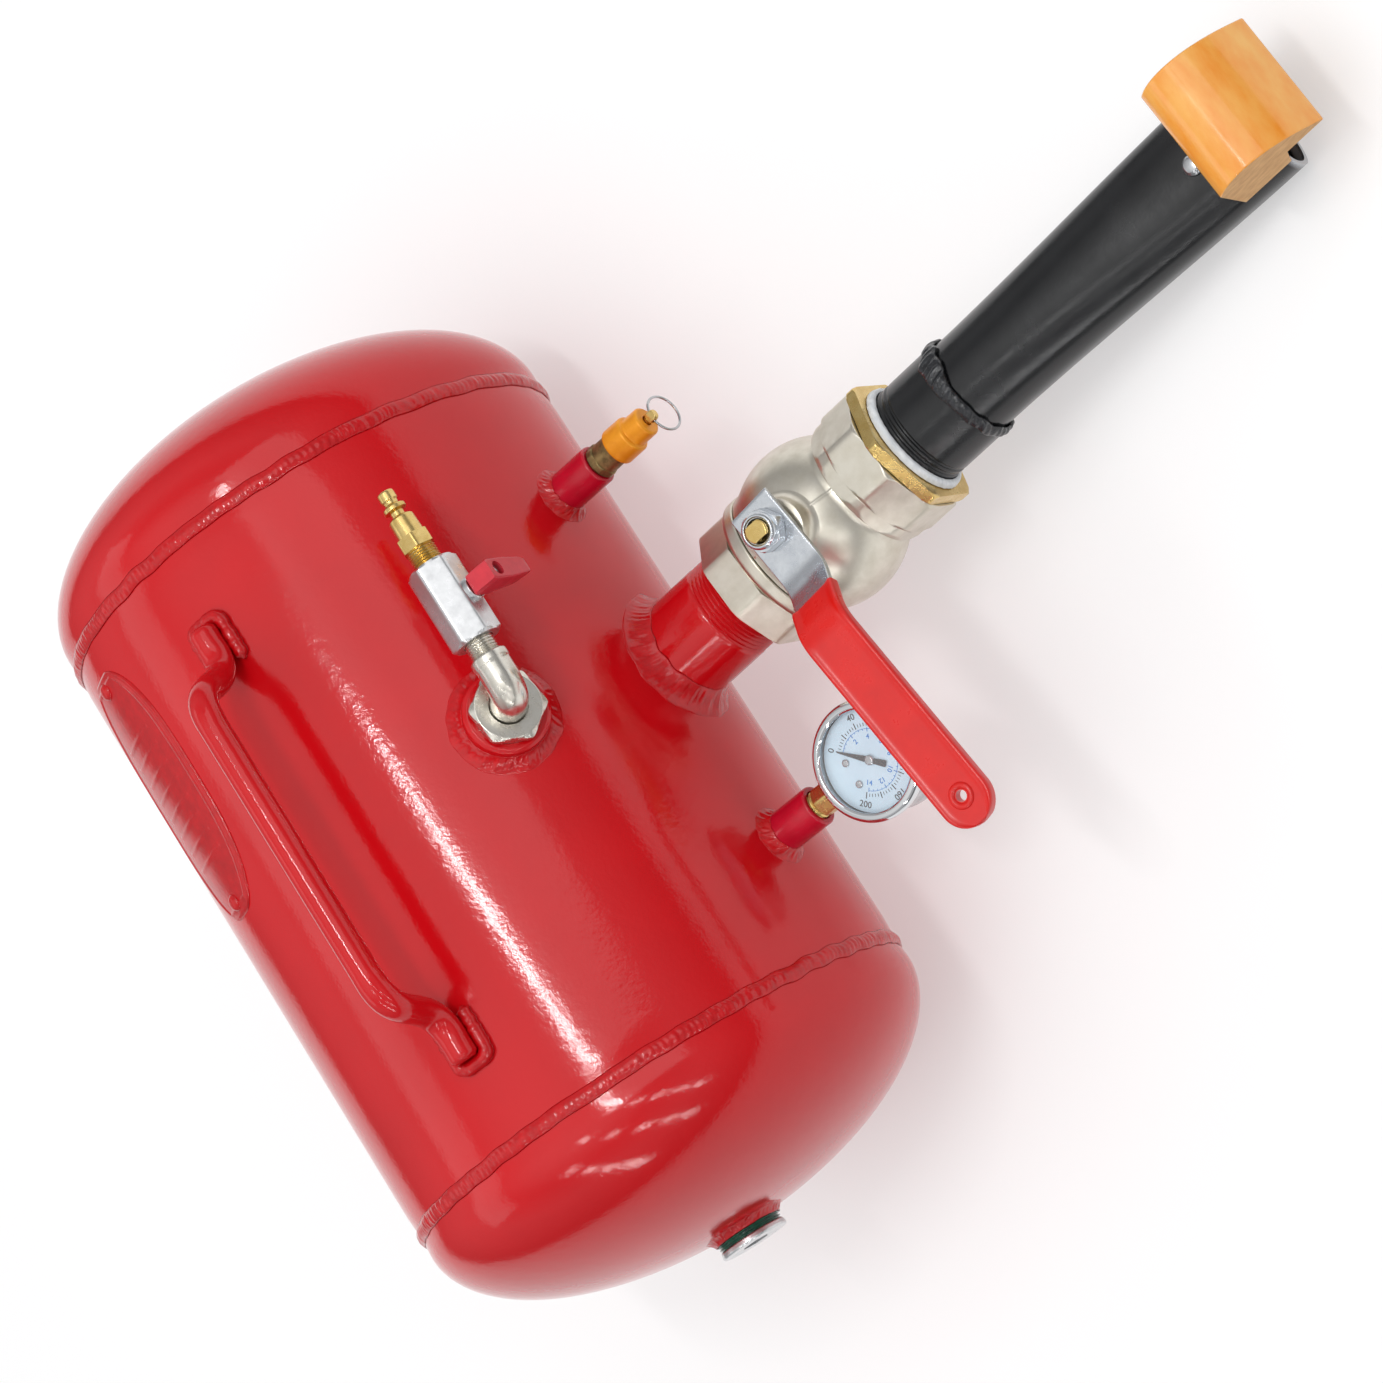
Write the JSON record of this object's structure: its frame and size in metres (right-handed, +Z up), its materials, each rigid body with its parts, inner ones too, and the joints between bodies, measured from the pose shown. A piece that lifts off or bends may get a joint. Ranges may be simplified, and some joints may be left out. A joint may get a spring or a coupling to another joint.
{
  "type": "tyre bead seater",
  "caption": "Air tank with a quick-opening ball valve and a flattened blast nozzle with a rim hook, for seating tyre beads.",
  "frame": {"origin": "centre of the footprint, on the floor the tool rests on", "axes": "+X along the blast nozzle, tank to mouth; +Y along the tank axis, from the drain end to the plain end; +Z up"},
  "size_m": [0.6282, 0.449, 0.2924],
  "materials": {
    "red_enamel": "gloss",
    "black_enamel": "satin",
    "nickel_plated_brass": "satin nickel plate",
    "bare_brass": "machined",
    "dark_brass": "dark bronze finish",
    "amber_anodised": "amber anodised",
    "zinc_plated_steel": "zinc plated",
    "bright_steel": "bright",
    "chrome": "polished",
    "ptfe": "matte white",
    "red_vinyl": "dipped vinyl, semi-gloss",
    "red_nylon": "moulded, satin",
    "orange_wood": "orange lacquer over bare end faces",
    "green_sealant": "cured, glossy",
    "dial_card": "printed pale dial",
    "black_pointer": "matt black",
    "clear_lens": "clear"
  },
  "bodies": {
    "tank": {"air_plug": "bare_brass", "barrel": "black_enamel", "bourdon_tube": "bare_brass", "carry_handle": "red_enamel", "collar_pipe": "black_enamel", "collar_weld": "black_enamel", "drain_boss": "red_enamel", "drain_plug": "zinc_plated_steel", "drain_sealant": "green_sealant", "drain_weld": "red_enamel", "gauge_bezel": "chrome", "gauge_boss": "red_enamel", "gauge_case": "bright_steel", "gauge_dial": "dial_card", "gauge_lens": "clear_lens", "gauge_movement": "bare_brass", "gauge_socket": "bare_brass", "gauge_weld": "red_enamel", "handle_weld_drain": "red_enamel", "handle_weld_plain": "red_enamel", "head_drain": "red_enamel", "head_plain": "red_enamel", "inlet_boss": "red_enamel", "inlet_elbow": "nickel_plated_brass", "inlet_weld": "red_enamel", "main_seat_outlet": "ptfe", "main_seat_tank": "ptfe", "main_valve_body": "nickel_plated_brass", "main_valve_end_cap": "nickel_plated_brass", "mini_valve_body": "nickel_plated_brass", "mini_valve_retainer": "bare_brass", "nameplate": "red_enamel", "outlet_bush": "bare_brass", "outlet_nipple": "red_enamel", "outlet_weld": "red_enamel", "pad_fixing": "zinc_plated_steel", "pad_screw": "zinc_plated_steel", "reducer_bush": "nickel_plated_brass", "rim_pad": "orange_wood", "safety_body": "dark_brass", "safety_boss": "red_enamel", "safety_cap": "amber_anodised", "safety_spring": "bright_steel", "safety_weld": "red_enamel", "seam_weld_drain": "red_enamel", "seam_weld_plain": "red_enamel", "tank_shell": "red_enamel", "tape_ring": "ptfe"},
    "main_valve_lever": {"main_lever": "zinc_plated_steel", "lever_sleeve": "red_vinyl", "lever_nut": "zinc_plated_steel", "main_stem": "bare_brass", "main_ball": "bright_steel"},
    "inlet_valve_wing": {"mini_valve_handle": "red_nylon", "mini_valve_screw": "zinc_plated_steel", "mini_valve_stem": "bare_brass", "mini_valve_ball": "bright_steel"},
    "relief_stem": {"safety_stem": "bare_brass"},
    "relief_pull_ring": {"safety_ring": "bright_steel"},
    "pressure_pointer": {"gauge_pointer": "black_pointer"}
  },
  "joints": [
    {"name": "main_valve_turn", "type": "hinge", "parent": "tank", "child": "main_valve_lever", "pos_m": [0.02484, 0.0105, 0.07659], "axis": [0.2315, 0, 0.9728], "range_deg": [0, 90]},
    {"name": "inlet_valve_turn", "type": "hinge", "parent": "tank", "child": "inlet_valve_wing", "pos_m": [-0.05548, 0.055, 0.21448], "axis": [0.9728, 0, -0.2315], "range_deg": [0, 90]},
    {"name": "relief_stem_lift", "type": "slide", "parent": "tank", "child": "relief_stem", "axis": [0.9893, 0, -0.1458], "range_m": [0, 0.003], "stiffness_N_per_m": 2000, "springref_m": -0.004, "deforming": ["safety_spring"]},
    {"name": "pull_ring_swing", "type": "hinge", "parent": "relief_stem", "child": "relief_pull_ring", "pos_m": [-0.00354, 0.0915, 0.09996], "axis": [0, -1, 0], "range_deg": [-8, 95]},
    {"name": "pointer_turn", "type": "hinge", "parent": "tank", "child": "pressure_pointer", "pos_m": [-0.00156, -0.0885, 0.09967], "axis": [-0.1458, 0, -0.9893], "range_deg": [0, 270], "stiffness_Nm_per_rad": 0.002, "springref_deg": -17.19}
  ]
}
